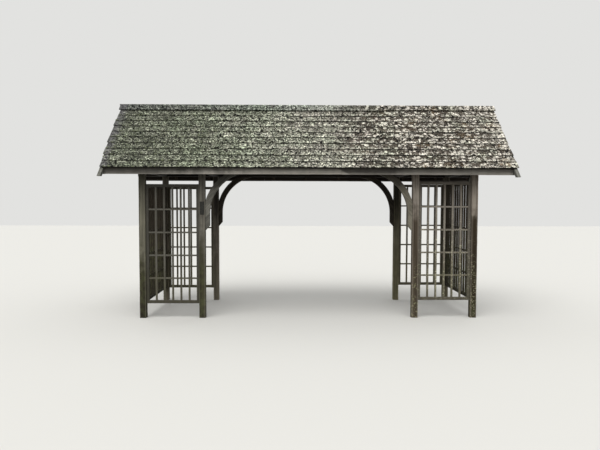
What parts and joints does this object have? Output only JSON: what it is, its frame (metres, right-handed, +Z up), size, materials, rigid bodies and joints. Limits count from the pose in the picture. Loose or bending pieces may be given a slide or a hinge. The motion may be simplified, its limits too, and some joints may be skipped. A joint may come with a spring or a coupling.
{
  "type": "timber lychgate",
  "caption": "Long low timber lychgate: an open passage between latticed side bays on square posts, with curved braces and a steep gabled shingle roof.",
  "frame": {"origin": "on the ground in the middle of the passage, halfway between the front and the rear posts", "axes": "+X along the ridge to the right as seen from the front, +Y through the gate to the rear, +Z up; the front, the side in the picture, faces -Y"},
  "size_m": [6.364, 2.3966, 3.4731],
  "materials": {
    "post_timber": "rough-sawn, weathered grey-brown, damp and green with lichen towards the ground",
    "brace_timber": "sawn, weathered grey-brown",
    "lattice_timber": "square laths, weathered grey with pale lichen on the upper faces",
    "roof_timber": "sawn, dark brown where it stays dry under the roof",
    "roof_boarding": "dark brown boards seen from below",
    "fascia_board": "silvery grey board with a pale worn lower edge and a brown damp stain",
    "bargeboard": "grey board with pale lichen",
    "shingle": "grey wooden shingles thick with grey-green and cream lichen",
    "ridge_cap": "grey boards with lichen",
    "dark_plate": "small blank dark plate",
    "iron_fixing": "rusted nail and bolt heads"
  },
  "bodies": {
    "root": {"front_left_outer_post": "post_timber", "front_left_inner_post": "post_timber", "front_right_inner_post": "post_timber", "front_right_outer_post": "post_timber", "rear_left_outer_post": "post_timber", "rear_left_inner_post": "post_timber", "rear_right_inner_post": "post_timber", "rear_right_outer_post": "post_timber", "front_left_brace": "brace_timber", "front_right_brace": "brace_timber", "rear_left_brace": "brace_timber", "rear_right_brace": "brace_timber", "front_wall_plate": "roof_timber", "rear_wall_plate": "roof_timber", "left_end_tie": "roof_timber", "left_inner_tie": "roof_timber", "right_inner_tie": "roof_timber", "right_end_tie": "roof_timber", "front_left_lattice": "lattice_timber", "front_right_lattice": "lattice_timber", "rear_left_lattice": "lattice_timber", "rear_right_lattice": "lattice_timber", "left_end_lattice": "lattice_timber", "right_end_lattice": "lattice_timber", "ridge_board": "roof_timber", "front_rafters": "roof_timber", "rear_rafters": "roof_timber", "front_roof_boards": "roof_boarding", "rear_roof_boards": "roof_boarding", "front_fascia": "fascia_board", "rear_fascia": "fascia_board", "left_front_bargeboard": "bargeboard", "left_rear_bargeboard": "bargeboard", "right_front_bargeboard": "bargeboard", "right_rear_bargeboard": "bargeboard", "front_shingles": "shingle", "rear_shingles": "shingle", "front_ridge_cap": "ridge_cap", "rear_ridge_cap": "ridge_cap"}
  },
  "joints": []
}
